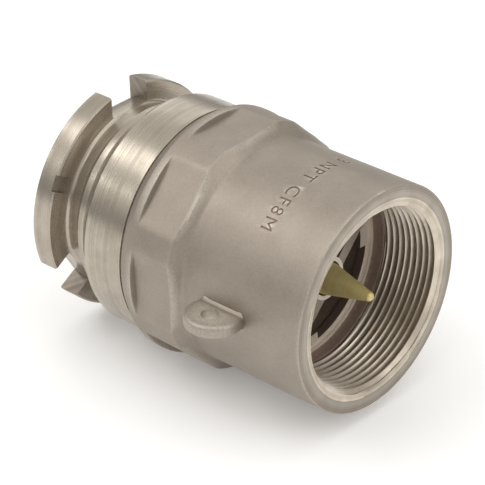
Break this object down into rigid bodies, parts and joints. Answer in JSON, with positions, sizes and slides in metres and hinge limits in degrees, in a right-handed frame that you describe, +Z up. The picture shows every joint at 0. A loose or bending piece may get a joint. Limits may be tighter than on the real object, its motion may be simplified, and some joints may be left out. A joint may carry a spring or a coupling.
{
  "type": "dry-disconnect cam adapter with spring-loaded poppet",
  "caption": "Stainless hose-coupling adapter: threaded hub, octagonal barrel, lobed locking flange, cable eye, and a sprung poppet valve carried by a spider.",
  "frame": {"origin": "centre of the threaded mouth, in the plane of its end face", "axes": "+X out of the threaded mouth along the coupling axis, +Z up through one flange notch, -Y towards the cable eye"},
  "size_m": [0.1548, 0.128, 0.116],
  "materials": {
    "cast_stainless": "fine blasted casting, lathe-turned nose, land and flange",
    "cast_stainless_inner": "blasted casting",
    "turned_stainless": "fine turned",
    "spring_steel": "drawn wire and stamped strip",
    "brass": "turned, dulled to olive",
    "ptfe": "waxy white",
    "fkm_rubber": "matt black"
  },
  "bodies": {
    "adapter": {"thread_hub": "cast_stainless", "wrench_barrel": "cast_stainless", "turned_nose": "turned_stainless", "cam_flange": "turned_stainless", "guide_spider": "cast_stainless_inner", "guide_bush": "ptfe", "retaining_ring": "spring_steel", "rear_spring_seat": "turned_stainless", "valve_spring": "spring_steel"},
    "poppet": {"poppet_head": "turned_stainless", "poppet_seal": "fkm_rubber", "poppet_stem": "turned_stainless", "jam_nut": "turned_stainless", "front_spring_seat": "turned_stainless", "nose_cone": "brass"}
  },
  "joints": [
    {"name": "poppet_slide", "type": "slide", "parent": "adapter", "child": "poppet", "axis": [1, 0, 0], "range_m": [0, 0.024], "stiffness_N_per_m": 5300, "springref_m": -0.015, "deforming": ["valve_spring"]}
  ]
}
